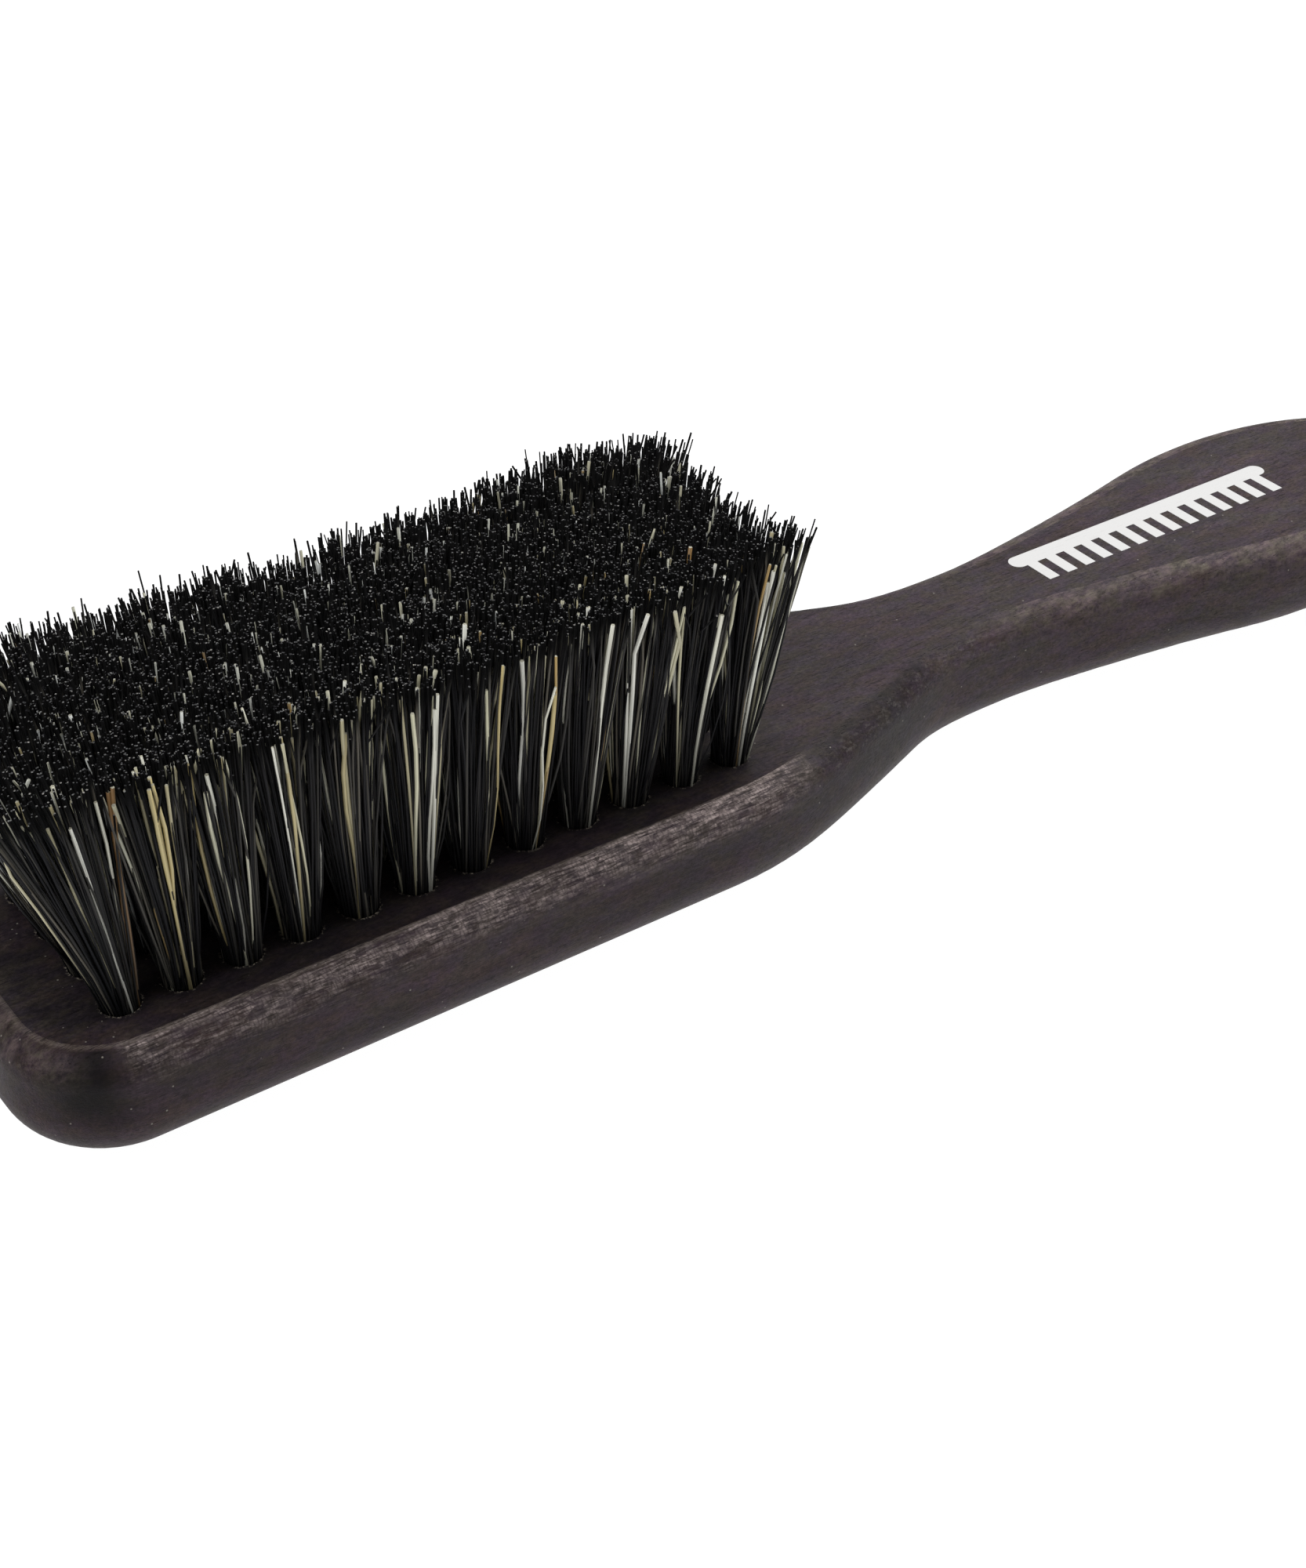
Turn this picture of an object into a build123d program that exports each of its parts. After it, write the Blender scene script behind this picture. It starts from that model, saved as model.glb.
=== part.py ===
"""Barber's fade brush: a one-piece wooden stock, drilled and set with boar-bristle tufts.

The brush lies on its back. +X runs from the head to the handle, +Z is the way the bristles point,
and the origin is the middle of the strip of table that the stock covers, at z = 0.
All lengths are in millimetres.
"""

from build123d import *
import os

# Wooden stock
LENGTH = 201.5
HEAD_WIDTH = 37.7
THICKNESS = 13.4
HEAD_CORNER_R = 11.4
FACE_EDGE_R = 3.1
BACK_EDGE_R = 6.0
HEAD_END = -LENGTH / 2
HEAD_SIDE_END = -20.6
NECK_X = 24.6
NECK_WIDTH = 15.7
PADDLE_X = 73.6
PADDLE_WIDTH = 29.8

# The handle's back is planed up off the table in one long, shallow sweep
RELIEF = 0.9
RELIEF_START = 22.0
RELIEF_FULL = 72.0

# Where the plan outline passes between the fixed widths, as (x, half width)
SHOULDER = [(-10.9, 17.6), (-1.1, 14.4), (8.7, 10.65)]
HANDLE = [(37.9, 9.1), (56.0, 12.4)]

# Tuft pattern: columns run across the head, rows run along it
COLUMNS = 12
ROWS = 4
COLUMN_PITCH = 6.5
ROW_PITCH = 6.95
FIRST_COLUMN_X = HEAD_END + 11.9
FIRST_ROW_Y = -ROW_PITCH * (ROWS - 1) / 2
HOLE_D = 4.1
HOLE_DEPTH = 9.0
HOLE_FLOOR = THICKNESS - HOLE_DEPTH

# Bristle tufts: round in the hole, then spreading to fill the brush face at the tips.
# The outer tufts lean outwards, so the tips cover a wider and longer field than the holes.
STEM_D = 4.0
BRISTLE_HEIGHT = 26.0
TIP_COLUMN_PITCH = 7.0
TIP_ROW_PITCH = 7.4
TIP_FIELD_LENGTH = 94.0
TIP_FIELD_WIDTH = 30.0
TIP_GAP = 0.3

# Flat wire anchor, driven across each tuft's fold and into the wood on both sides
ANCHOR_WIDTH = 5.0
ANCHOR_HEIGHT = 1.9
ANCHOR_THICKNESS = 0.35
ANCHOR_RISE = 1.3

# Comb-shaped mark printed in ink on the handle's face
MARK_START = 34.0
MARK_LENGTH = 42.0
MARK_SPINE_WIDTH = 2.4
MARK_TOOTH_LENGTH = 5.2
MARK_TOOTH_WIDTH = 1.5
MARK_TEETH = 14
INK_THICKNESS = 0.06

TOLERANCE = 0.01


def half_outline():
    """The stock's plan outline on the +Y side, from the head's end to the handle's end."""
    half_head, half_neck, half_paddle = HEAD_WIDTH / 2, NECK_WIDTH / 2, PADDLE_WIDTH / 2
    corner_x, corner_y = HEAD_END + HEAD_CORNER_R, half_head - HEAD_CORNER_R
    level = [(1, 0), (1, 0)]
    head_end = Line((HEAD_END, 0), (HEAD_END, corner_y))
    head_corner = RadiusArc((HEAD_END, corner_y), (corner_x, half_head), HEAD_CORNER_R)
    side = Line((corner_x, half_head), (HEAD_SIDE_END, half_head))
    shoulder = Spline(
        [(HEAD_SIDE_END, half_head), *SHOULDER, (NECK_X, half_neck)], tangents=level
    )
    handle = Spline(
        [(NECK_X, half_neck), *HANDLE, (PADDLE_X, half_paddle)], tangents=level
    )
    handle_end = EllipticalCenterArc(
        (PADDLE_X, 0), LENGTH / 2 - PADDLE_X, half_paddle, start_angle=0, arc_size=90
    )
    return [head_end, head_corner, side, shoulder, handle, handle_end]


def relief_waste():
    """What is planed off the handle's back."""
    sweep = Spline([(RELIEF_START, 0), (RELIEF_FULL, RELIEF)], tangents=[(1, 0), (1, 0)])
    rest = Polyline(
        (RELIEF_FULL, RELIEF),
        (LENGTH, RELIEF),
        (LENGTH, -THICKNESS),
        (RELIEF_START, -THICKNESS),
        (RELIEF_START, 0),
    )
    side_view = Plane.XZ * make_face([*sweep.edges(), *rest.edges()])
    return extrude(side_view, HEAD_WIDTH, both=True)


def blank():
    """The sawn, planed and rounded stock before drilling."""
    half = half_outline()
    outline = make_face([*half, *(edge.mirror(Plane.XZ) for edge in half)])
    block = extrude(outline, THICKNESS) - relief_waste()

    def round_the_face(edge):
        return edge.bounding_box().min.Z > THICKNESS - TOLERANCE

    def round_the_back(edge):
        box = edge.bounding_box()
        crosses_the_back = box.size.X < TOLERANCE and box.min.X > HEAD_END + TOLERANCE
        return box.max.Z < RELIEF + TOLERANCE and not crosses_the_back

    block = fillet(block.edges().filter_by(round_the_face), FACE_EDGE_R)
    return fillet(block.edges().filter_by(round_the_back), BACK_EDGE_R)


def hole_centre(row, column):
    """The centre of one tuft hole in plan."""
    return FIRST_COLUMN_X + column * COLUMN_PITCH, FIRST_ROW_Y + row * ROW_PITCH


def tip_span(index, count, pitch, field):
    """The low and high edge of one tuft's tips along an axis, about the field's middle."""
    low = -field / 2 if index == 0 else (index - count / 2) * pitch
    high = field / 2 if index == count - 1 else (index + 1 - count / 2) * pitch
    return low + TIP_GAP / 2, high - TIP_GAP / 2


def anchor(row, column):
    """One flat wire anchor, standing on edge across the hole."""
    x, y = hole_centre(row, column)
    floor = HOLE_FLOOR + ANCHOR_RISE
    lift = (Align.CENTER, Align.CENTER, Align.MIN)
    return Pos(x, y, floor) * Box(ANCHOR_THICKNESS, ANCHOR_WIDTH, ANCHOR_HEIGHT, align=lift)


def tuft(row, column):
    """One bundle of bristles, folded under its anchor and spreading above the wood."""
    x, y = hole_centre(row, column)
    field_x = FIRST_COLUMN_X + COLUMN_PITCH * (COLUMNS - 1) / 2
    low_x, high_x = tip_span(column, COLUMNS, TIP_COLUMN_PITCH, TIP_FIELD_LENGTH)
    low_y, high_y = tip_span(row, ROWS, TIP_ROW_PITCH, TIP_FIELD_WIDTH)
    tip_z = THICKNESS + BRISTLE_HEIGHT
    tip_place = Pos(field_x + (low_x + high_x) / 2, (low_y + high_y) / 2, tip_z)
    tip = tip_place * Ellipse((high_x - low_x) / 2, (high_y - low_y) / 2)
    mouth = Pos(x, y, THICKNESS) * Circle(STEM_D / 2)
    stem = extrude(Pos(x, y, HOLE_FLOOR) * Circle(STEM_D / 2), HOLE_DEPTH)
    return stem + loft([mouth, tip]) - anchor(row, column)


def stock():
    """The drilled stock, with the slits that the anchors cut in the walls of its holes."""
    body = blank()
    for row in range(ROWS):
        for column in range(COLUMNS):
            x, y = hole_centre(row, column)
            body -= extrude(Pos(x, y, HOLE_FLOOR) * Circle(HOLE_D / 2), THICKNESS)
            body -= anchor(row, column)
    return body


def printed_mark():
    """A plain comb in ink: a spine along the handle with teeth to one side."""
    centre_y = MARK_TOOTH_LENGTH / 2
    spine = Pos(MARK_START + MARK_LENGTH / 2, centre_y) * RectangleRounded(
        MARK_LENGTH, MARK_SPINE_WIDTH, MARK_SPINE_WIDTH / 2 - TOLERANCE
    )
    comb = spine
    spacing = (MARK_LENGTH - 2 * MARK_SPINE_WIDTH) / (MARK_TEETH - 1)
    for tooth in range(MARK_TEETH):
        place = Pos(MARK_START + MARK_SPINE_WIDTH + tooth * spacing, centre_y)
        comb += place * Rectangle(
            MARK_TOOTH_WIDTH, MARK_TOOTH_LENGTH, align=(Align.CENTER, Align.MAX)
        )
    return extrude(Pos(0, 0, THICKNESS) * comb, INK_THICKNESS)


def save(node, shape):
    """Write one named piece."""
    export_step(shape, f"parts/{node}.step")


os.makedirs("parts", exist_ok=True)
save("wooden_stock", stock())
save("printed_mark", printed_mark())
anchors = [anchor(row, column) for row in range(ROWS) for column in range(COLUMNS)]
save("tuft_anchors", Compound(children=anchors))
for row in range(ROWS):
    for column in range(COLUMNS):
        save(f"tuft_row{row + 1}_col{column + 1:02d}", tuft(row, column))
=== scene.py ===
"""The fade brush's visual model: stained wood, hair by hair boar bristle, and a soft white studio."""

import math
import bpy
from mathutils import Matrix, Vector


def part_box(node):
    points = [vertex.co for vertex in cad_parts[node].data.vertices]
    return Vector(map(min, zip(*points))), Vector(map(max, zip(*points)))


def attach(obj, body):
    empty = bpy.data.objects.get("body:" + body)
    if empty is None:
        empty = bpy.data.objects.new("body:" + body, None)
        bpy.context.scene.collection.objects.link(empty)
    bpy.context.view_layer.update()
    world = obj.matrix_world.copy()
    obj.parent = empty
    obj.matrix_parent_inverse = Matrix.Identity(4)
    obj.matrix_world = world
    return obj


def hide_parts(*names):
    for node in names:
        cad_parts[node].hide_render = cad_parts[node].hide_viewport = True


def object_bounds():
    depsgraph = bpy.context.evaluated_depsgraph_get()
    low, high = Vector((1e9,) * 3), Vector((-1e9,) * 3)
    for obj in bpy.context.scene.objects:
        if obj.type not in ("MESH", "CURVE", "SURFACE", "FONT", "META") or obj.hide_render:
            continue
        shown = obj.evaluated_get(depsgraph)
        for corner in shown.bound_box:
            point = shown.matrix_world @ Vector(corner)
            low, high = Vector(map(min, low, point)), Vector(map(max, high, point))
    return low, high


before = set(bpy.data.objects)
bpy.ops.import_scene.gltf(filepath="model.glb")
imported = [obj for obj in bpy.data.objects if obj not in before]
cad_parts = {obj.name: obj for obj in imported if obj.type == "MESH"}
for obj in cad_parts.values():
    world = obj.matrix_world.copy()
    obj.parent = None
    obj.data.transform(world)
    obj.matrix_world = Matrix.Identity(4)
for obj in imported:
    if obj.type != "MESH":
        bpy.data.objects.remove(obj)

from types import SimpleNamespace

import bpy
import numpy as np
from mathutils import Vector

cad_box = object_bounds()
MM = 0.001

# ---------------------------------------------------------------------------------------------
# Sizes in metres: read from the frame, or as the CAD has them
# ---------------------------------------------------------------------------------------------

COLUMNS = 12
ROWS = 4
FACE_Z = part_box("wooden_stock")[1].z
ANCHORS_LOW, ANCHORS_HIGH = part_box("tuft_anchors")
ANCHOR_WIDTH = 5.0 * MM
ANCHOR_THICKNESS = 0.35 * MM
COLUMN_PITCH = (ANCHORS_HIGH.x - ANCHORS_LOW.x - ANCHOR_THICKNESS) / (COLUMNS - 1)
ROW_PITCH = (ANCHORS_HIGH.y - ANCHORS_LOW.y - ANCHOR_WIDTH) / (ROWS - 1)
HOLE_R = 2.05 * MM
CELL_GAP = np.array([0.15, 0.15, 0.0]) * MM  # from a CAD tuft's tips to the edge of its cell


def node_name(row, column):
    return f"tuft_row{row + 1}_col{column + 1:02d}"


def hole_x(column):
    return ANCHORS_LOW.x + ANCHOR_THICKNESS / 2 + COLUMN_PITCH * column


def hole_y(row):
    return ANCHORS_LOW.y + ANCHOR_WIDTH / 2 + ROW_PITCH * row


# ---------------------------------------------------------------------------------------------
# Camera
# ---------------------------------------------------------------------------------------------

CAMERA_PLACE = Vector((-159.5, -198.9, 176.2)) * MM
CAMERA_HEADING = math.radians(35.05)
CAMERA_DOWN = math.radians(35.2)
SENSOR_MM = 36.0
LENS_MM = 73.77
CLIP_START = 0.01
CLIP_END = 20.0


def make_camera():
    data = bpy.data.cameras.new("camera")
    data.sensor_fit = "HORIZONTAL"
    data.sensor_width = SENSOR_MM
    data.lens = LENS_MM
    data.clip_start = CLIP_START
    data.clip_end = CLIP_END
    camera = bpy.data.objects.new("camera", data)
    camera.location = CAMERA_PLACE
    camera.rotation_euler = (math.pi / 2 - CAMERA_DOWN, 0.0, -CAMERA_HEADING)
    bpy.context.scene.collection.objects.link(camera)
    bpy.context.scene.camera = camera


# ---------------------------------------------------------------------------------------------
# Node helpers
# ---------------------------------------------------------------------------------------------

MIX_A, MIX_B, MIX_RESULT = 6, 7, 2  # the colour sockets of a mix node
WHITE = (1.0, 1.0, 1.0)


class Nodes:
    """A thin wrapper that keeps material code short. A value is a number or a node's output."""

    def __init__(self, name):
        self.material = bpy.data.materials.new(name)
        self.material.use_nodes = True
        self.tree = self.material.node_tree
        self.shader = self.tree.nodes["Principled BSDF"]

    def put(self, target, value):
        if hasattr(value, "is_output"):
            self.tree.links.new(value, target)
        else:
            target.default_value = value

    def node(self, kind, inputs=None, **settings):
        made = self.tree.nodes.new(kind)
        for key, value in settings.items():
            setattr(made, key, value)
        for key, value in (inputs or {}).items():
            self.put(made.inputs[key], value)
        return made

    def math(self, operation, a, b=0.0, clamp=False):
        inputs = {0: a, 1: b}
        return self.node("ShaderNodeMath", inputs, operation=operation, use_clamp=clamp).outputs[0]

    def times(self, *factors, clamp=False):
        """The product of two or more values."""
        *others, last = factors
        product = self.times(*others) if len(others) > 1 else others[0]
        return self.math("MULTIPLY", product, last, clamp=clamp)

    def mapped(self, value, low, high, to_low=0.0, to_high=1.0, smooth=False):
        """A value's way from low to high, as a way from to_low to to_high."""
        kind = "SMOOTHSTEP" if smooth else "LINEAR"
        inputs = {"Value": value, 1: low, 2: high, 3: to_low, 4: to_high}
        return self.node("ShaderNodeMapRange", inputs, interpolation_type=kind).outputs[0]

    def noise(self, vector, detail, rough=0.5, distortion=0.0):
        inputs = {
            "Vector": vector, "Scale": 1.0, "Detail": detail,
            "Roughness": rough, "Distortion": distortion,
        }
        return self.node("ShaderNodeTexNoise", inputs).outputs["Fac"]

    def cells(self, vector, feature="F1"):
        inputs = {"Vector": vector, "Scale": 1.0}
        return self.node("ShaderNodeTexVoronoi", inputs, feature=feature).outputs

    def chance(self, cells):
        """One random number for each of the cells."""
        return self.node("ShaderNodeSeparateColor", {0: cells["Color"]}).outputs[0]

    def parts(self, vector):
        return self.node("ShaderNodeSeparateXYZ", {0: vector}).outputs

    def stretch(self, vector, x, y, z):
        inputs = {0: vector, 1: (x, y, z)}
        return self.node("ShaderNodeVectorMath", inputs, operation="MULTIPLY").outputs[0]

    def ramp(self, value, stops):
        made = self.node("ShaderNodeValToRGB", {"Fac": value})
        elements = made.color_ramp.elements
        while len(elements) < len(stops):
            elements.new(0.5)
        for element, (place, colour) in zip(elements, stops):
            element.position = place
            element.color = (*colour, 1.0)
        return made.outputs["Color"]

    def blend(self, factor, a, b, kind="MIX"):
        """Two colours, each an output or three numbers, mixed by a value."""
        made = self.node("ShaderNodeMix", {"Factor": factor}, data_type="RGBA", blend_type=kind)
        for socket, colour in ((MIX_A, a), (MIX_B, b)):
            self.put(made.inputs[socket], colour if hasattr(colour, "is_output") else (*colour, 1.0))
        return made.outputs[MIX_RESULT]

    def tinted(self, colour, tint):
        """A colour multiplied by another."""
        return self.blend(1.0, colour, tint, "MULTIPLY")

    def dimmed(self, colour, value):
        """A colour multiplied by a value."""
        grey = self.node("ShaderNodeCombineColor", {0: value, 1: value, 2: value}).outputs[0]
        return self.tinted(colour, grey)

    def bump(self, height, distance, strength):
        inputs = {"Height": height, "Distance": distance, "Strength": strength}
        return self.node("ShaderNodeBump", inputs).outputs["Normal"]

    def shade(self, **sockets):
        for name, value in sockets.items():
            self.put(self.shader.inputs[name.replace("_", " ")], value)
        return self.material


def place_in_mm(nodes):
    """Object coordinates in millimetres."""
    coordinates = nodes.node("ShaderNodeTexCoord").outputs["Object"]
    return nodes.stretch(coordinates, 1000.0, 1000.0, 1000.0)


# ---------------------------------------------------------------------------------------------
# The wood. Its places and scales are in millimetres.
# ---------------------------------------------------------------------------------------------

KNOCK = (10.7, -8.3, 13.2)  # a small dent on the edge of the neck
HEAD_FADE = (-9.0, -20.0)  # where along the brush the head's own look sets in
TOE = -100.0


class Wood(Nodes):
    """Near-black stained hardwood, as layers over a shared place, direction and grain."""

    def __init__(self):
        super().__init__("stained_wood")
        self.place = place_in_mm(self)
        axes = self.parts(self.place)
        self.x, self.y, self.z = axes["X"], axes["Y"], axes["Z"]
        facing = self.parts(self.node("ShaderNodeNewGeometry").outputs["Normal"])
        self.facing_x, self.facing_z = facing["X"], facing["Z"]

        self.fibres = self.grain(0.30, 3.8, 5.0, 0.68)
        self.hairline = self.grain(0.9, 8.5, 4.0, 0.65)
        self.mottle = self.grain(0.38, 0.62, 6.0, 0.70)
        self.pores = self.mapped(self.grain(0.6, 6.0, 1.0), 0.65, 0.72)

        self.on_face = self.times(
            self.mapped(self.facing_z, 0.975, 0.9995), self.mapped(self.x, *HEAD_FADE)
        )
        self.corner_painted_shade = self.painted_corner_shade()
        self.turned = self.turned_edge()

    def grain(self, along, across, detail, rough=0.5, distortion=0.0):
        """Noise with its scales along and across the brush."""
        vector = self.stretch(self.place, along, across, across)
        return self.noise(vector, detail, rough, distortion)

    def painted_corner_shade(self):
        """Painted shade: falls below 1 on the rounded corners between the toe and the sides, most on
        their upper half and not on the toe's own end, where less light falls.
        """
        level = self.math("SUBTRACT", 1.0, self.math("POWER", self.facing_z, 2.0), clamp=True)
        level = self.math("SQRT", level)
        endways = self.math("DIVIDE", self.math("ABSOLUTE", self.facing_x), level)
        corner = self.times(
            self.mapped(endways, 0.15, 0.50, 0.0, 0.82, smooth=True),
            self.mapped(endways, 0.98, 0.62, smooth=True),
        )
        up_to_face = self.times(
            self.mapped(self.facing_z, 0.9995, 0.96), self.mapped(endways, 0.85, 0.50, smooth=True)
        )
        up_to_face = self.math("MAXIMUM", up_to_face, self.mapped(self.facing_z, 0.95, 0.45))
        upper_half = self.mapped(self.z, 4.5, 9.0, 0.15, 1.0, smooth=True)
        return self.math("SUBTRACT", 1.0, self.times(corner, up_to_face, upper_half))

    def turned_edge(self):
        """Starts sharply where the face turns over, and fades raggedly down the side."""
        over = self.mapped(self.facing_z, 0.9990, 0.9935)
        depth = self.math("SUBTRACT", FACE_Z / MM, self.z)
        fade = self.math("POWER", self.mapped(depth, 4.0, 0.0), 1.4)
        ragged = self.mapped(self.grain(0.16, 0.7, 4.0, 0.65), 0.26, 0.62)
        return self.times(over, fade, ragged)

    def stain(self):
        """Brown-black to purple-black, in patches a few millimetres across, with open pores."""
        figure = self.grain(0.05, 0.30, 4.0, 0.55, 0.6)
        brown = self.ramp(figure, [(0.32, (0.0310, 0.0235, 0.0210)), (0.72, (0.0490, 0.0385, 0.0350))])
        purple = self.ramp(figure, [(0.32, (0.0292, 0.0212, 0.0280)), (0.72, (0.0468, 0.0355, 0.0452))])
        base = self.blend(self.mapped(self.mottle, 0.40, 0.60, smooth=True), brown, purple)
        drift = self.mapped(self.grain(0.13, 0.26, 3.0, 0.6), 0.40, 0.60)
        base = self.tinted(base, self.blend(drift, (1.07, 0.955, 1.005), (0.975, 1.015, 0.98)))
        patches = self.mapped(self.grain(0.45, 1.3, 4.0, 0.7), 0.3, 0.7, 0.79, 1.23)
        fine = self.times(
            self.mapped(self.fibres, 0.3, 0.7, 0.86, 1.14),
            self.mapped(self.hairline, 0.3, 0.7, 0.90, 1.10),
        )
        grit = self.mapped(self.grain(2.2, 3.0, 3.0, 0.7), 0.3, 0.7, 0.60, 1.42)
        base = self.dimmed(self.dimmed(base, self.times(fine, patches)), grit)
        return self.blend(self.times(self.pores, 0.55), base, (0.007, 0.0055, 0.0055))

    def stain_tint_and_painted_shading(self, base):
        """Painted shading over the stain: darker towards the toe, on the rounded corners, and on the
        head's face where the bristles shade it; lighter on the face near the toe, with a painted
        highlight on the toe's rim. Off the face a redder tint towards the toe, and blotches on the
        face.
        """
        neutral = self.math("MAXIMUM", self.mapped(self.x, TOE, 0.0), self.on_face)
        base = self.tinted(base, self.blend(neutral, (1.08, 0.955, 0.975), WHITE))
        # Painted shade and light on the head's face: darkened where the bristles shade it, lightened
        # towards the toe, and lightest on the toe's rim as a painted highlight.
        face_painted_shading = self.times(
            self.mapped(self.x, -98.0, -82.0, 1.36, 0.60), self.mapped(self.x, -95.6, -97.4, 1.0, 1.5)
        )
        blotch = self.times(self.mapped(self.mottle, 0.35, 0.60), self.on_face, 0.45)
        # Painted shade: the whole stock darker towards the toe, as if the light fell from the neck's
        # side; times the face's painted shading and its blotches.
        depth = self.times(
            self.mapped(self.x, TOE, 30.0, 0.62, 1.0),
            self.mapped(self.on_face, 0.0, 1.0, 1.0, face_painted_shading),
            self.math("SUBTRACT", 1.15, blotch),
        )
        return self.dimmed(base, self.times(self.corner_painted_shade, depth))

    def handled_neck(self, base):
        """Round the neck the edge is paler where fingers rest, with small scuffs and one knock."""
        sanded = self.times(
            self.mapped(self.facing_z, 0.97, 0.75), self.mapped(self.facing_z, 0.0, 0.35),
            self.mapped(self.x, -18.0, -8.0), self.mapped(self.x, 30.0, 20.0),
        )
        base = self.dimmed(base, self.mapped(sanded, 0.0, 1.0, 1.0, 1.42))
        scuffs = self.mapped(self.grain(1.1, 1.7, 4.0, 0.75), 0.53, 0.68, 0.0, 0.40)
        base = self.blend(self.times(scuffs, sanded), base, (0.16, 0.145, 0.135))
        to_knock = self.node("ShaderNodeVectorMath", {0: self.place, 1: KNOCK}, operation="DISTANCE")
        knock = self.mapped(to_knock.outputs["Value"], 0.75, 0.35, 0.0, 0.6)
        return self.blend(knock, base, (0.010, 0.008, 0.009))

    def rubbed_head(self, base):
        """Along the head the edge is rubbed pale, in fine streaks broken up by short checks."""
        along_head = self.times(
            self.mapped(self.x, -92.2, -91.0), self.mapped(self.x, -16.0, -9.0, 1.0, 0.0, smooth=True),
            self.mapped(self.x, -88.0, -20.0, 0.60, 1.35),
        )
        edge = self.times(self.turned, along_head)
        base = self.dimmed(base, self.mapped(edge, 0.0, 0.6, 1.0, 0.58))
        patches = self.cells(self.stretch(self.place, 1.1, 2.4, 2.4))
        fleck = self.mapped(self.chance(patches), 0.0, 1.0, 0.30, 1.35)
        check_cells = self.cells(self.stretch(self.place, 2.1, 0.9, 0.9), "DISTANCE_TO_EDGE")
        checks = self.mapped(check_cells["Distance"], 0.03, 0.20, 0.50, 1.0)
        streaks = self.mapped(self.grain(0.42, 4.6, 5.0, 0.75), 0.395, 0.635, 0.06, 1.50)
        wear = self.times(fleck, checks, streaks, edge, clamp=True)
        return self.blend(wear, base, (0.42, 0.345, 0.33)), wear

    def dulled_edges(self, base):
        """On the handle and round the toe the edge is only dulled: brown, in soft blotches."""
        beyond_head = self.math(
            "MAXIMUM", self.mapped(self.x, 18.0, 34.0), self.mapped(self.x, -94.5, -98.0)
        )
        blotches = self.mapped(self.grain(0.6, 0.95, 6.0, 0.78), 0.39, 0.62)
        brown = self.blend(
            self.mapped(self.mottle, 0.42, 0.58), (0.245, 0.215, 0.165), (0.285, 0.212, 0.195)
        )
        return self.blend(self.times(self.turned, beyond_head, blotches, 0.52), base, brown)

    def painted_rim_highlight(self, base):
        """Painted highlight: where the face meets the round, a thin pale line all the way round the
        head, as if the light caught that edge.
        """
        rim_highlight = self.times(
            self.mapped(self.facing_z, 0.9995, 0.9975), self.mapped(self.facing_z, 0.965, 0.990),
            self.corner_painted_shade, self.mapped(self.x, -9.0, -17.0),
            self.mapped(self.hairline, 0.40, 0.62, 0.0, 0.32),
        )
        return self.blend(rim_highlight, base, (0.30, 0.25, 0.21))

    def off_grid(self, value, first, pitch, count):
        """The square of how far a coordinate is from the nearest of a row of even places."""
        from_first = self.math("SUBTRACT", value, first)
        index = self.math("ROUND", self.math("DIVIDE", from_first, pitch))
        index = self.math("MINIMUM", self.math("MAXIMUM", index, 0.0), count - 1.0)
        return self.math("POWER", self.math("SUBTRACT", from_first, self.times(index, pitch)), 2.0)

    def hole_rims(self, base):
        """Round each hole the wood is darker, and pale specks mark the rims: lifted fibres, and painted
        glints where the rims catch the light.
        """
        across = self.off_grid(self.x, hole_x(0) / MM, COLUMN_PITCH / MM, COLUMNS)
        beside = self.off_grid(self.y, hole_y(0) / MM, ROW_PITCH / MM, ROWS)
        from_axis = self.math("SQRT", self.math("ADD", across, beside))
        from_hole = self.math("SUBTRACT", from_axis, HOLE_R / MM)
        dark_ring = self.times(self.mapped(from_hole, 1.3, 0.1, smooth=True), self.on_face, 0.5)
        base = self.blend(dark_ring, base, (0.006, 0.0055, 0.006))
        ticks = self.noise(self.stretch(self.place, 3.2, 3.2, 1.0), 3.0, 0.7)
        # Pale lifted fibres on the rims, which also stand in as painted glints.
        pale_fibres_and_glints = self.times(
            self.mapped(from_hole, 0.34, 0.10), self.on_face, self.mapped(ticks, 0.54, 0.63, 0.0, 0.85)
        )
        return self.blend(pale_fibres_and_glints, base, (0.24, 0.21, 0.17))

    def dusted(self, base):
        """Specks of dust caught in the pores, and more of them on the face round the first tufts."""
        dust_cells = self.cells(self.stretch(self.place, 0.42, 0.42, 0.42))
        toe_cells = self.cells(self.stretch(self.place, 0.9, 0.9, 0.9))
        toe_dust = self.times(
            self.mapped(toe_cells["Distance"], 0.11, 0.06),
            self.math("GREATER_THAN", self.chance(toe_cells), 0.35),
            self.on_face, self.mapped(self.x, -80.0, -90.0),
        )
        dust = self.math("MAXIMUM", self.mapped(dust_cells["Distance"], 0.055, 0.030), toe_dust)
        return self.blend(self.times(dust, 0.7), base, (0.26, 0.24, 0.21))

    def relief(self, wear):
        """The height of the fibres, the pores and the worn streaks."""
        relief = self.math("ADD", self.times(self.fibres, 0.6), self.times(self.hairline, 0.4))
        relief = self.math("SUBTRACT", relief, self.times(self.pores, 0.5))
        return self.math("ADD", relief, self.times(wear, 0.6))


def stained_wood():
    """The stock's material, with its layers in the order in which they came."""
    n = Wood()
    base = n.handled_neck(n.stain_tint_and_painted_shading(n.stain()))
    base, wear = n.rubbed_head(base)
    base = n.painted_rim_highlight(n.dulled_edges(base))
    base = n.dusted(n.hole_rims(base))
    return n.shade(
        Base_Color=base,
        Roughness=n.math("ADD", n.mapped(n.fibres, 0.3, 0.7, 0.44, 0.60), n.times(wear, 0.15)),
        Specular_IOR_Level=0.12,
        Normal=n.bump(n.relief(wear), 0.00010, 0.8),
    )


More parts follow.
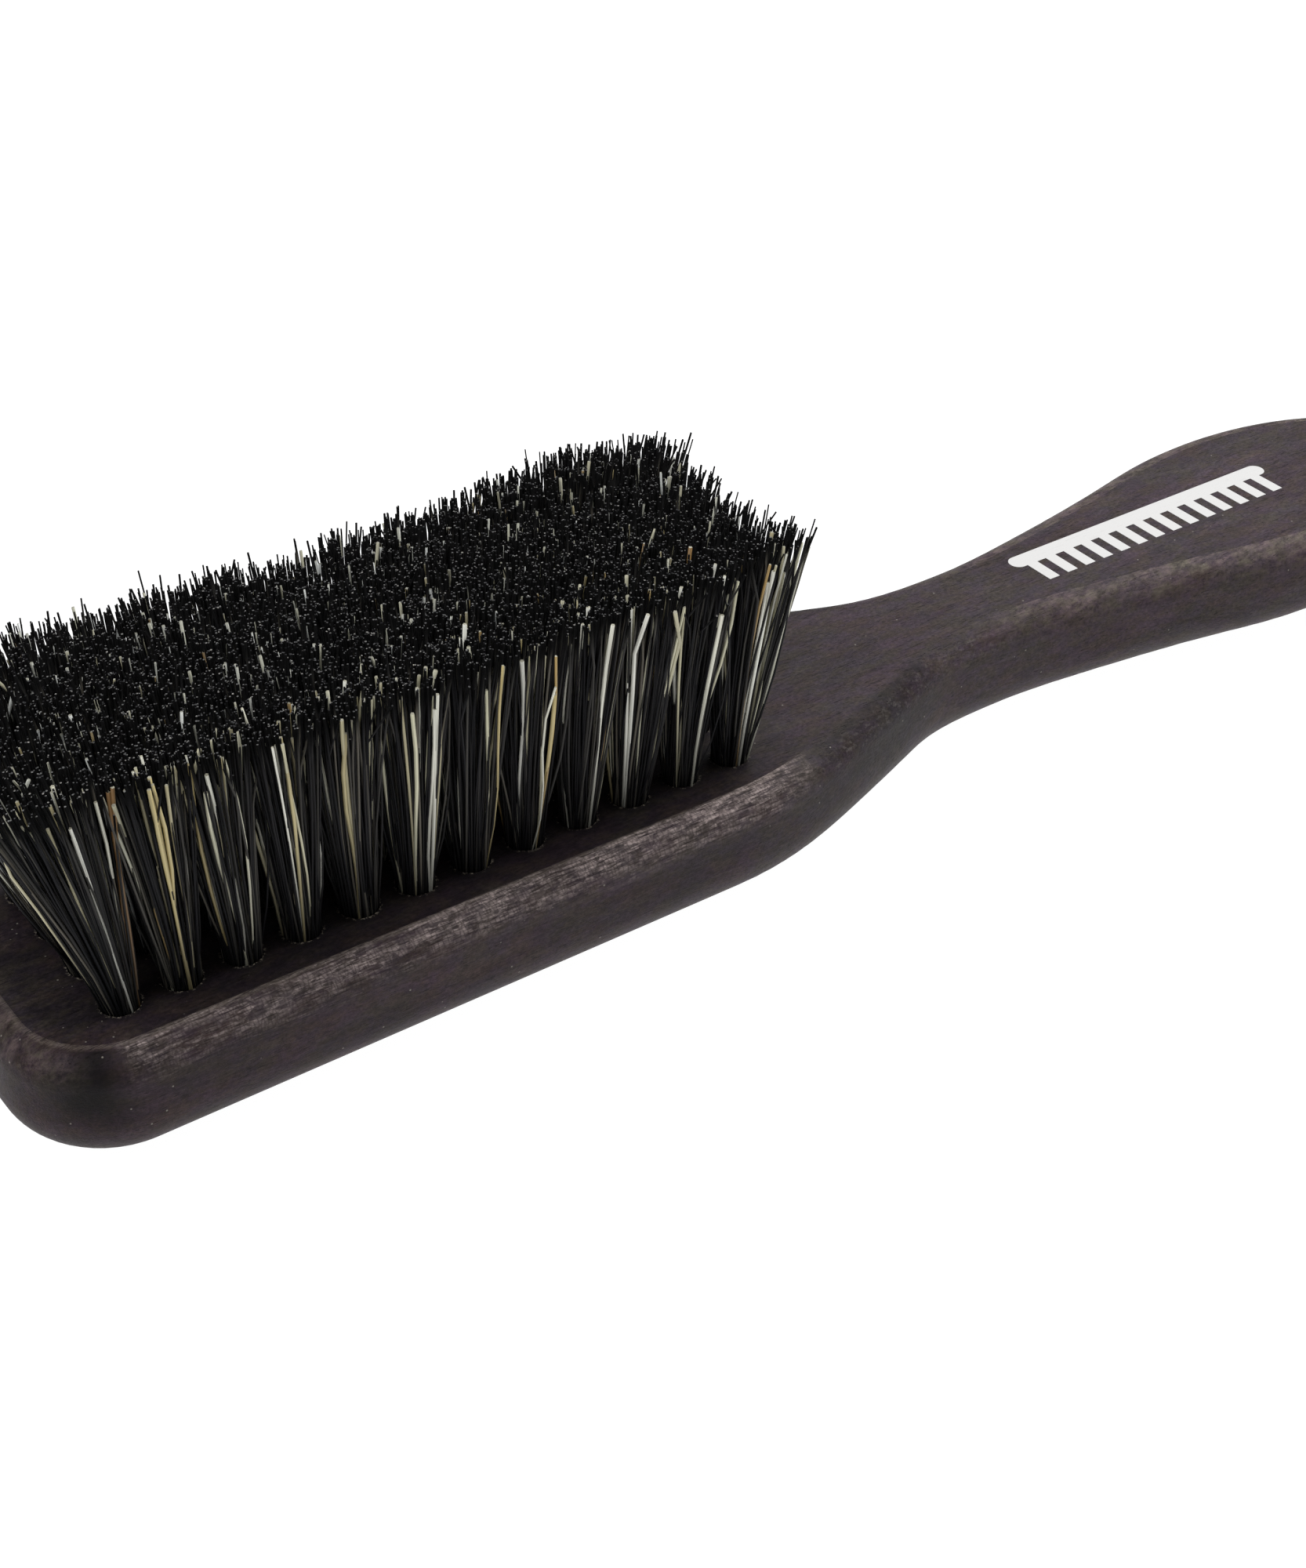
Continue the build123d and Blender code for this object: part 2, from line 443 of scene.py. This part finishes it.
# ---------------------------------------------------------------------------------------------
# Other materials
# ---------------------------------------------------------------------------------------------

HAIR_MAP = "hair"  # the hairs' UV map: across is a hair's tone, up is the way to its tip
CUT_V = 1.2  # the way up that marks a hair's cut end,
CUT_FROM = 1.1  # and where the shader takes it for one


class HairNodes(Nodes):
    """A hair's material, with its hair map's vector, tone and way along."""

    def __init__(self, name):
        super().__init__(name)
        self.uv = self.node("ShaderNodeUVMap", uv_map=HAIR_MAP).outputs["UV"]
        parts = self.parts(self.uv)
        self.tone, self.along = parts["X"], parts["Y"]

    def cut_end(self, hair, cut):
        """The hair's colour, and that of its cut end."""
        return self.blend(self.math("GREATER_THAN", self.along, CUT_FROM), hair, cut)


def black_bristle():
    """Dyed boar bristle: near black, with a brown or slate cast and a greyer cut end, partly its grey
    core and partly a painted highlight.
    """
    n = HairNodes("black_bristle")
    hair = n.ramp(
        n.tone,
        [
            (0.0, (0.0095, 0.0095, 0.0112)),
            (0.45, (0.0205, 0.0198, 0.0206)),
            (0.75, (0.0420, 0.0403, 0.0382)),
            (0.93, (0.088, 0.083, 0.073)),
            (1.0, (0.145, 0.132, 0.108)),
        ],
    )
    hair = n.dimmed(hair, n.mapped(n.along, 0.12, 0.50, 0.38, 1.0))
    # Painted shade: near its tip the black hair's side is darkened, where the packed tips shade each
    # other; the same mask makes it rougher.
    shaded_tip = n.mapped(n.along, 0.88, 0.98, smooth=True)
    hair = n.blend(shaded_tip, hair, (0.0030, 0.0030, 0.0031))
    # The cut ends' grey: partly the hair's own grey core, partly a painted highlight on the ends,
    # brightest on a random few.
    chance = n.node("ShaderNodeTexWhiteNoise", {"W": n.tone}, noise_dimensions="1D").outputs["Value"]
    cut = n.ramp(
        chance,
        [
            (0.25, (0.006, 0.006, 0.007)),
            (0.60, (0.074, 0.075, 0.077)),
            (0.90, (0.150, 0.150, 0.147)),
            (1.0, (0.27, 0.26, 0.245)),
        ],
    )
    scales = n.noise(n.stretch(n.uv, 600.0, 60.0, 1.0), 2.0)
    rough = n.mapped(scales, 0.3, 0.7, 0.32, 0.44)
    return n.shade(
        Base_Color=n.cut_end(hair, cut),
        Roughness=n.math("ADD", rough, n.times(shaded_tip, 0.45)),
        Specular_IOR_Level=0.07,
    )


def blonde_bristle(name, cast):
    """Undyed boar bristle: cream to grey-white, some amber, streaked along its length."""
    n = HairNodes(name)
    hair = n.ramp(
        n.tone,
        [
            (0.0, (0.21, 0.10, 0.03)),
            (0.04, (0.50, 0.34, 0.12)),
            (0.08, (0.58, 0.48, 0.22)),
            (0.13, (0.52, 0.47, 0.29)),
            (0.50, (0.72, 0.70, 0.51)),
            (1.0, (0.95, 0.95, 0.86)),
        ],
    )
    streaks = n.noise(n.stretch(n.uv, 900.0, 2.6, 1.0), 3.0, 0.6)
    dull = n.mapped(streaks, 0.42, 0.62, smooth=True)
    hair = n.blend(n.times(dull, 0.42), hair, (0.17, 0.16, 0.125))
    # Darker towards the root: partly the hair's own tone, partly painted shade deep in the tuft.
    hair = n.dimmed(hair, n.mapped(n.along, 0.15, 0.75, 0.26, 1.0, smooth=True))
    return n.shade(
        # Painted shade: the cut end gets a dim colour, as if shaded by the black tips around it.
        Base_Color=n.tinted(n.cut_end(hair, (0.34, 0.325, 0.25)), cast),
        Roughness=n.mapped(streaks, 0.3, 0.7, 0.34, 0.52),
        Specular_IOR_Level=0.5,
    )


def anchor_wire():
    """Drawn flat wire with lengthwise draw marks."""
    n = Nodes("anchor_wire")
    marks = n.noise(n.stretch(place_in_mm(n), 40.0, 0.6, 14.0), 4.0, 0.6)
    return n.shade(
        Base_Color=n.ramp(marks, [(0.3, (0.42, 0.41, 0.385)), (0.7, (0.62, 0.605, 0.57))]),
        Metallic=1.0,
        Roughness=n.mapped(marks, 0.3, 0.7, 0.28, 0.48),
        Normal=n.bump(marks, 0.00001, 0.4),
    )


def white_ink():
    """Pad-printed white ink, a little thin where the wood's fibres show."""
    n = Nodes("white_ink")
    fibres = n.noise(n.stretch(place_in_mm(n), 0.4, 5.0, 5.0), 4.0, 0.65)
    thin = n.times(n.mapped(fibres, 0.62, 0.80), 0.45)
    return n.shade(
        Base_Color=n.blend(thin, (0.62, 0.615, 0.61), (0.26, 0.24, 0.24)),
        Roughness=n.mapped(fibres, 0.3, 0.7, 0.42, 0.55),
        Normal=n.bump(fibres, 0.00002, 0.5),
    )


def studio_floor():
    """Pale and plain; it gives off a little light, so that it is as white as the sky."""
    return Nodes("studio_floor").shade(
        Base_Color=(0.14, 0.14, 0.14, 1.0),
        Roughness=0.9,
        Specular_IOR_Level=0.0,
        Emission_Color=(1.0, 1.0, 1.0, 1.0),
        Emission_Strength=0.985,
    )


# ---------------------------------------------------------------------------------------------
# Bristles
# ---------------------------------------------------------------------------------------------

# The two colours of hair. `taper` is the thickness at the root, two thirds up and at the tip.
# In mm, `wander` is how far tips stray, `too_long` by how much a few hairs stand out at the least
# and at the most, and `swing` how far hairs wave.
BLACK = SimpleNamespace(
    colour="black", per_tuft=235, radius=0.112 * MM, thinnest=0.75, taper=(1.0, 1.0, 0.86),
    wander=0.48, too_long=(0.4, 2.0), bow_chance=0.10, swing=0.08, tone_power=1.6, seed=1000,
)
BLONDE = SimpleNamespace(
    colour="blonde", per_tuft=25, radius=0.19 * MM, thinnest=0.65, taper=(0.5, 1.0, 0.95),
    wander=0.50, too_long=(0.6, 2.4), bow_chance=0.16, swing=0.16, tone_power=1.0, seed=1001,
)
THICKEST = 1.30  # the thickest hair has this much of `radius`, and the thinnest has `thinnest` of it
INNER_SLENDERNESS = 0.82  # the blonde hairs behind the near row are finer,
INNER_PAINTED_SHADE = (0.80, 0.825, 0.90)  # and darker and cooler, a painted shade

# Stout pale hairs that lie together: (row, column), place in the hole's disc, hairs, tone
BUNDLES = (
    ((0, 0), (0.20, -1.02), 1, 1.00),
    ((0, 0), (0.80, -0.62), 2, 0.00),
    ((0, 1), (-0.05, -1.02), 4, 0.08),
    ((0, 5), (0.30, -0.98), 2, 0.90),
    ((0, 8), (0.10, -1.02), 1, 0.85),
    ((0, 10), (0.05, -1.02), 1, 0.80),
    ((0, 11), (-0.05, -1.02), 1, 0.95),
    ((0, 11), (0.62, -0.80), 2, 0.75),
)
BUNDLE_THICKNESS = 1.15
BUNDLE_CALM = 0.25  # how much of the other hairs' disorder these have
BUNDLE_SPREAD = 0.05
END_LOOSENESS = 1.7  # how much more the black hairs next to the neck stray

GOLDEN_ANGLE = math.pi * (3.0 - math.sqrt(5.0))
EVEN_DISORDER = 0.03  # how far black hairs stray from even places, by the hole's radius
HAIRS_IN_BUNCH = 2  # blonde hairs that lie together,
BUNCH_SPREAD = 0.07  # and how far from each other, by the hole's radius
SQUARENESS = 0.6  # of a tuft's tips: 0 would be an ellipse and 1 a rectangle

HOLE_MARGIN = 0.16 * MM  # from the outermost hairs' middles to the hole's wall
ROOT_REACH = 0.93  # how far from the hole's axis a hair is at its root, by how far it is at the mouth
ROOT_RISE = 0.3 * MM  # from the anchor's top to the hairs' roots
CLUMP_SIZE = 4  # hairs that cling together at their tips,
CLUMP_PULL = (0.05, 0.50)  # how far, at the least and at the most,
CLUMP_RISE = 0.15 * MM  # and how uneven the clumps' heights are
BLONDE_SHORTFALL = (2.0, 0.85 * MM)  # how far blonde hairs end below the CAD tips: shape and scale
BLACK_UNEVENNESS = 0.12  # mm
STRAY_CHANCE = 0.05  # of a hair that is too long, or a black one that is too short,
TOO_SHORT = (0.8, 4.0)  # and by how much, in mm
ASTRAY_CHANCE = 0.10  # of a black tip that leaves its clump,
ASTRAY = 1.3  # and how far, in mm
BEND_CHANCE = 0.06  # of a tip that turns aside,
BEND = 1.2  # and how far, in mm
BOW = 0.28 * MM
STRONG_BOW = 3.0  # how much more a few of the hairs bow
LEAN_LOSS = 0.12  # how much lower a leaning hair ends
SPREAD_POWER = 1.12  # hairs start steep and spread more towards their tips

NECK_MARGINS = (2.6, 4.9, 4.1, 2.9)  # mm that each row's tips stay short of the CAD field at the neck
TOE_COLUMNS = 6  # how many columns from the toe on are drawn to it
TOE_SPREAD = 2.4 * MM  # how much further the far row leans out towards the toe,
TOE_SPREAD_RISE = 1.6  # and how soon
TOE_CORNER = 2.2 * MM  # how much the near corner at the toe is drawn in
NECK_CORNER = 1.6 * MM  # and the near corner at the neck
# How far each tuft of the far row stands over or under the rest, in mm, from the toe on
FAR_ROW_RISE = (-0.4, 0.3, -0.8, -0.2, 0.0, -1.1, 0.0, -0.2, 0.0, 0.6, 1.5, 0.0)

RINGS = 7
SIDES = 5
TONE_STEP = 0.01  # how far the hair map runs across round a hair


def within_disc(points):
    """Draws the points outside the unit disc in to its edge."""
    return points / np.maximum(np.linalg.norm(points, axis=1, keepdims=True), 1.0)


def pack_disc(count, rng):
    """Points spread evenly over the unit disc, with a little disorder: (count, 2)."""
    order = np.arange(count) + 0.5
    angle = order * GOLDEN_ANGLE + rng.uniform(0, 2 * math.pi)
    reach = np.sqrt(order / count)
    points = np.stack([reach * np.cos(angle), reach * np.sin(angle)], axis=1)
    return within_disc(points + rng.normal(0, EVEN_DISORDER, points.shape))


def bunched_disc(count, rng):
    """Points in the unit disc that lie in bunches of a few: (count, 2)."""
    middles = pack_disc(count // HAIRS_IN_BUNCH, rng)
    points = middles[rng.integers(len(middles), size=count)]
    return within_disc(points + rng.normal(0, BUNCH_SPREAD, (count, 2)))


def toward_square(points):
    """Moves points of the unit disc most of the way out to the square around it."""
    reach = np.linalg.norm(points, axis=1, keepdims=True)
    widest = np.abs(points).max(axis=1, keepdims=True)
    return points * (1 - SQUARENESS + SQUARENESS * reach / np.maximum(widest, 1e-6))


def cling(tip, rng):
    """Draws tips together in clumps, and gives each clump its own height."""
    count = len(tip)
    heads = tip[rng.choice(count, count // CLUMP_SIZE, replace=False)]
    nearest = np.linalg.norm(tip[:, None] - heads[None], axis=2).argmin(axis=1)
    pull = rng.uniform(*CLUMP_PULL, len(heads))[nearest, None]
    height = rng.normal(0, CLUMP_RISE, len(heads))[nearest]
    return tip + (heads[nearest] - tip) * pull, height


def strays(count, limits, rng):
    """A length within the limits, in mm, for a few of the hairs, and nothing for the rest."""
    picked = rng.random(count) < STRAY_CHANCE
    return np.where(picked, rng.uniform(*limits, count) * MM, 0.0)


def nudges(count, chance, spread, rng):
    """A shift sideways, in mm, for some of the hairs, and nothing for the rest."""
    picked = rng.random((count, 1)) < chance
    return np.where(picked, rng.normal(0, spread * MM, (count, 2)), 0.0)


def bundle_hairs(tuft):
    """Each bundle of this tuft, with the slice of the tuft's blonde hairs that it takes."""
    first = 0
    for at, place, hairs, tone in BUNDLES:
        if at == tuft:
            yield slice(first, first + hairs), place, tone
            first += hairs


def tip_cell(row, column):
    """The tips' cell: it closes the CAD solids' gap, and at the field's edge it draws in."""
    low, high = (np.array(corner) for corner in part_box(node_name(row, column)))
    low, high = low - CELL_GAP, high + CELL_GAP
    toe = max(0.0, 1.0 - column / TOE_COLUMNS)
    if column == COLUMNS - 1:
        high[0] -= NECK_MARGINS[row] * MM
    if row == ROWS - 1:
        high[1] += TOE_SPREAD * min(1.0, TOE_SPREAD_RISE * toe)
        high[2] += FAR_ROW_RISE[column] * MM
    if row == 0:
        low[1] += TOE_CORNER * toe**2 + NECK_CORNER * (column == COLUMNS - 1)
    return low, high


def hair_lines(kind, tuft, rng):
    """Centre lines of one tuft's hairs of one colour: (hairs, RINGS, 3)."""
    row, column = tuft
    count = kind.per_tuft
    disorder = np.ones((count, 1))
    if kind is BLONDE:
        disc = bunched_disc(count, rng)
        for hairs, place, _ in bundle_hairs(tuft):
            disc[hairs] = place + rng.normal(0, BUNDLE_SPREAD, disc[hairs].shape)
            disorder[hairs] = BUNDLE_CALM
    else:
        disc = pack_disc(count, rng)

    mouth = np.array([hole_x(column), hole_y(row)])
    start = mouth + disc * (HOLE_R - HOLE_MARGIN)
    low, high = tip_cell(row, column)
    centre, half = (low + high) / 2, (high - low) / 2
    loose = END_LOOSENESS if column == COLUMNS - 1 and kind is BLACK else 1.0
    wander = disorder * kind.wander * loose * MM
    tip = centre[:2] + toward_square(disc) * half[:2] + rng.normal(0, 1.0, (count, 2)) * wander
    length = high[2] - FACE_Z
    if kind is BLONDE:
        tall = length - rng.gamma(*BLONDE_SHORTFALL, count)
        tall += strays(count, kind.too_long, rng)
    else:
        tip, height = cling(tip, rng)
        tip += nudges(count, ASTRAY_CHANCE, ASTRAY, rng)
        tall = length + height * loose + rng.normal(0, BLACK_UNEVENNESS * loose * MM, count)
        tall += strays(count, kind.too_long, rng)
        tall -= strays(count, TOO_SHORT, rng)
    lean = np.linalg.norm(tip - start, axis=1)
    tall -= LEAN_LOSS * lean**2 / length

    bow = rng.normal(0, BOW, (count, 2))
    bow *= np.where(rng.random((count, 1)) < kind.bow_chance, STRONG_BOW, 1.0) * disorder
    swing = rng.normal(0, kind.swing * MM, (count, 2))
    bend = nudges(count, BEND_CHANCE * loose**2, BEND, rng)
    lines = np.empty((count, RINGS, 3))
    lines[:, 0, :2] = mouth + (start - mouth) * ROOT_REACH
    lines[:, 0, 2] = ANCHORS_HIGH.z + ROOT_RISE
    for ring in range(1, RINGS):
        t = (ring - 1) / (RINGS - 2)
        spread = t**SPREAD_POWER
        flat = start * (1 - spread) + tip * spread
        flat = flat + bow * (4 * t * (1 - t)) + swing * math.sin(2 * math.pi * t)
        lines[:, ring, :2] = flat
        lines[:, ring, 2] = FACE_Z + tall * t
    lines[:, -1, :2] += bend * disorder
    return lines


def hair_tubes(lines, radius, taper, tone):
    """Vertices, face corners, corner counts, corner UVs and smoothness of tubes along the lines."""
    count = len(lines)
    tangent = np.gradient(lines, axis=1)
    tangent /= np.linalg.norm(tangent, axis=2, keepdims=True)
    across = np.cross(tangent, (1.0, 0.0, 0.0))
    across /= np.linalg.norm(across, axis=2, keepdims=True)
    beside = np.cross(tangent, across)
    thickness = np.interp(np.arange(RINGS), [0, 2 * RINGS / 3, RINGS - 1], taper)
    ring_r = radius[:, None] * thickness[None, :]
    angle = 2 * math.pi * np.arange(SIDES) / SIDES
    circle = (
        np.cos(angle)[None, None, :, None] * across[:, :, None, :]
        + np.sin(angle)[None, None, :, None] * beside[:, :, None, :]
    )
    vertices = lines[:, :, None, :] + circle * ring_r[:, :, None, None]

    index = np.arange(count * RINGS * SIDES).reshape(count, RINGS, SIDES)
    turned = np.roll(index, -1, axis=2)
    quads = np.stack([index[:, :-1], turned[:, :-1], turned[:, 1:], index[:, 1:]], axis=-1)
    corners = np.concatenate([quads.ravel(), index[:, 0, ::-1].ravel(), index[:, -1].ravel()])
    faces = [count * (RINGS - 1) * SIDES, 2 * count]
    sizes = np.repeat([4, SIDES], faces)
    smooth = np.repeat([True, False], faces)

    u = tone[:, None, None] + TONE_STEP * np.arange(SIDES + 1) / SIDES
    u = np.broadcast_to(u, (count, RINGS, SIDES + 1))
    v = np.broadcast_to(np.linspace(0.0, 1.0, RINGS)[None, :, None], u.shape)
    uv = np.stack([u, v], axis=-1)
    quad_uv = np.stack([uv[:, :-1, :-1], uv[:, :-1, 1:], uv[:, 1:, 1:], uv[:, 1:, :-1]], axis=-2)
    ends = [np.stack([tone, np.full(count, end_v)], axis=-1) for end_v in (0.0, CUT_V)]
    end_uv = np.repeat(np.stack(ends), SIDES, axis=1)
    corner_uv = np.concatenate([quad_uv.reshape(-1, 2), end_uv.reshape(-1, 2)])
    return vertices.reshape(-1, 3), corners, sizes, corner_uv, smooth


def mesh_object(name, material, vertices, corners, sizes, corner_uv, smooth):
    mesh = bpy.data.meshes.new(name)
    mesh.vertices.add(len(vertices))
    mesh.vertices.foreach_set("co", vertices.astype(np.float32).ravel())
    mesh.loops.add(len(corners))
    mesh.loops.foreach_set("vertex_index", corners.astype(np.int32))
    mesh.polygons.add(len(sizes))
    starts = np.concatenate([[0], np.cumsum(sizes)[:-1]])
    mesh.polygons.foreach_set("loop_start", starts.astype(np.int32))
    mesh.polygons.foreach_set("loop_total", sizes.astype(np.int32))
    mesh.polygons.foreach_set("use_smooth", smooth)
    layer = mesh.uv_layers.new(name=HAIR_MAP)
    layer.data.foreach_set("uv", corner_uv.astype(np.float32).ravel())
    mesh.update(calc_edges=True)
    mesh.validate()
    mesh.materials.append(material)
    made = bpy.data.objects.new(name, mesh)
    bpy.context.scene.collection.objects.link(made)
    return made


def make_hairs(kind, tuft, material):
    """One tuft's hairs of one colour, as one piece."""
    row, column = tuft
    rng = np.random.default_rng(kind.seed + 2 * (row * COLUMNS + column))
    lines = hair_lines(kind, tuft, rng)
    radius = kind.radius * rng.uniform(kind.thinnest, THICKEST, kind.per_tuft)
    tone = rng.random(kind.per_tuft) ** kind.tone_power
    if kind is BLONDE and row > 0:
        radius *= INNER_SLENDERNESS
    if kind is BLONDE:
        for hairs, _, bundle_tone in bundle_hairs(tuft):
            tone[hairs] = bundle_tone
            radius[hairs] = kind.radius * BUNDLE_THICKNESS
    name = f"{kind.colour}_bristles_row{row + 1}_col{column + 1:02d}"
    piece = mesh_object(name, material, *hair_tubes(lines, radius, kind.taper, tone))
    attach(piece, "root")
    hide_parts(node_name(row, column))


def make_tufts():
    """A black and a blonde piece for each tuft, in the place of its CAD solid."""
    black = black_bristle()
    near_blonde = blonde_bristle("near_blonde_bristle", WHITE)
    # Painted shade: the blonde hairs behind the near row get a darker, cooler copy of the material, as
    # if the near row shaded them.
    shaded_inner_blonde = blonde_bristle("shaded_inner_blonde_bristle", INNER_PAINTED_SHADE)
    for row in range(ROWS):
        for column in range(COLUMNS):
            make_hairs(BLACK, (row, column), black)
            make_hairs(BLONDE, (row, column), shaded_inner_blonde if row > 0 else near_blonde)


# ---------------------------------------------------------------------------------------------
# Studio
# ---------------------------------------------------------------------------------------------

SKY_LIGHT = 0.30  # the sky's strength as a light; seen directly it is plain white
FLOOR_HALF = 3.0
FLOOR_DROP = 0.00002  # under the brush, so that the two don't coincide


def make_sky():
    world = bpy.data.worlds.new("studio")
    world.use_nodes = True
    tree = world.node_tree
    background = tree.nodes["Background"]
    background.inputs["Color"].default_value = (*WHITE, 1.0)
    rays = tree.nodes.new("ShaderNodeLightPath")
    strength = tree.nodes.new("ShaderNodeMapRange")
    tree.links.new(rays.outputs["Is Camera Ray"], strength.inputs["Value"])
    strength.inputs["To Min"].default_value = SKY_LIGHT
    strength.inputs["To Max"].default_value = 1.0
    tree.links.new(strength.outputs["Result"], background.inputs["Strength"])
    bpy.context.scene.world = world
    bpy.context.scene.view_settings.view_transform = "Standard"


def make_floor():
    corners = [(x * FLOOR_HALF, y * FLOOR_HALF, 0) for x, y in ((-1, -1), (1, -1), (1, 1), (-1, 1))]
    mesh = bpy.data.meshes.new("floor")
    mesh.from_pydata(corners, [], [(0, 1, 2, 3)])
    mesh.materials.append(studio_floor())
    floor = bpy.data.objects.new("floor", mesh)
    floor.location.z = cad_box[0][2] - FLOOR_DROP
    bpy.context.scene.collection.objects.link(floor)


def area_light(name, place, target, size, power):
    data = bpy.data.lights.new(name, "AREA")
    data.shape = "SQUARE"
    data.size = size
    data.energy = power
    light = bpy.data.objects.new(name, data)
    light.location = place
    aim = Vector(target) - Vector(place)
    light.rotation_euler = aim.to_track_quat("-Z", "Y").to_euler()
    bpy.context.scene.collection.objects.link(light)


def make_studio():
    make_sky()
    make_floor()
    area_light("key", (0.36, 0.08, 0.70), target=(0.0, 0.0, 0.02), size=0.8, power=6.9)
    area_light("fill", (-0.42, 0.02, 0.52), target=(-0.09, 0.0, 0.01), size=0.35, power=1.6)


# ---------------------------------------------------------------------------------------------
# The brush
# ---------------------------------------------------------------------------------------------


def dress(node, material):
    """Gives a CAD node its finished material."""
    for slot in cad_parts[node].material_slots:
        slot.material = material


make_camera()
make_studio()
dress("wooden_stock", stained_wood())
dress("tuft_anchors", anchor_wire())
dress("printed_mark", white_ink())
make_tufts()
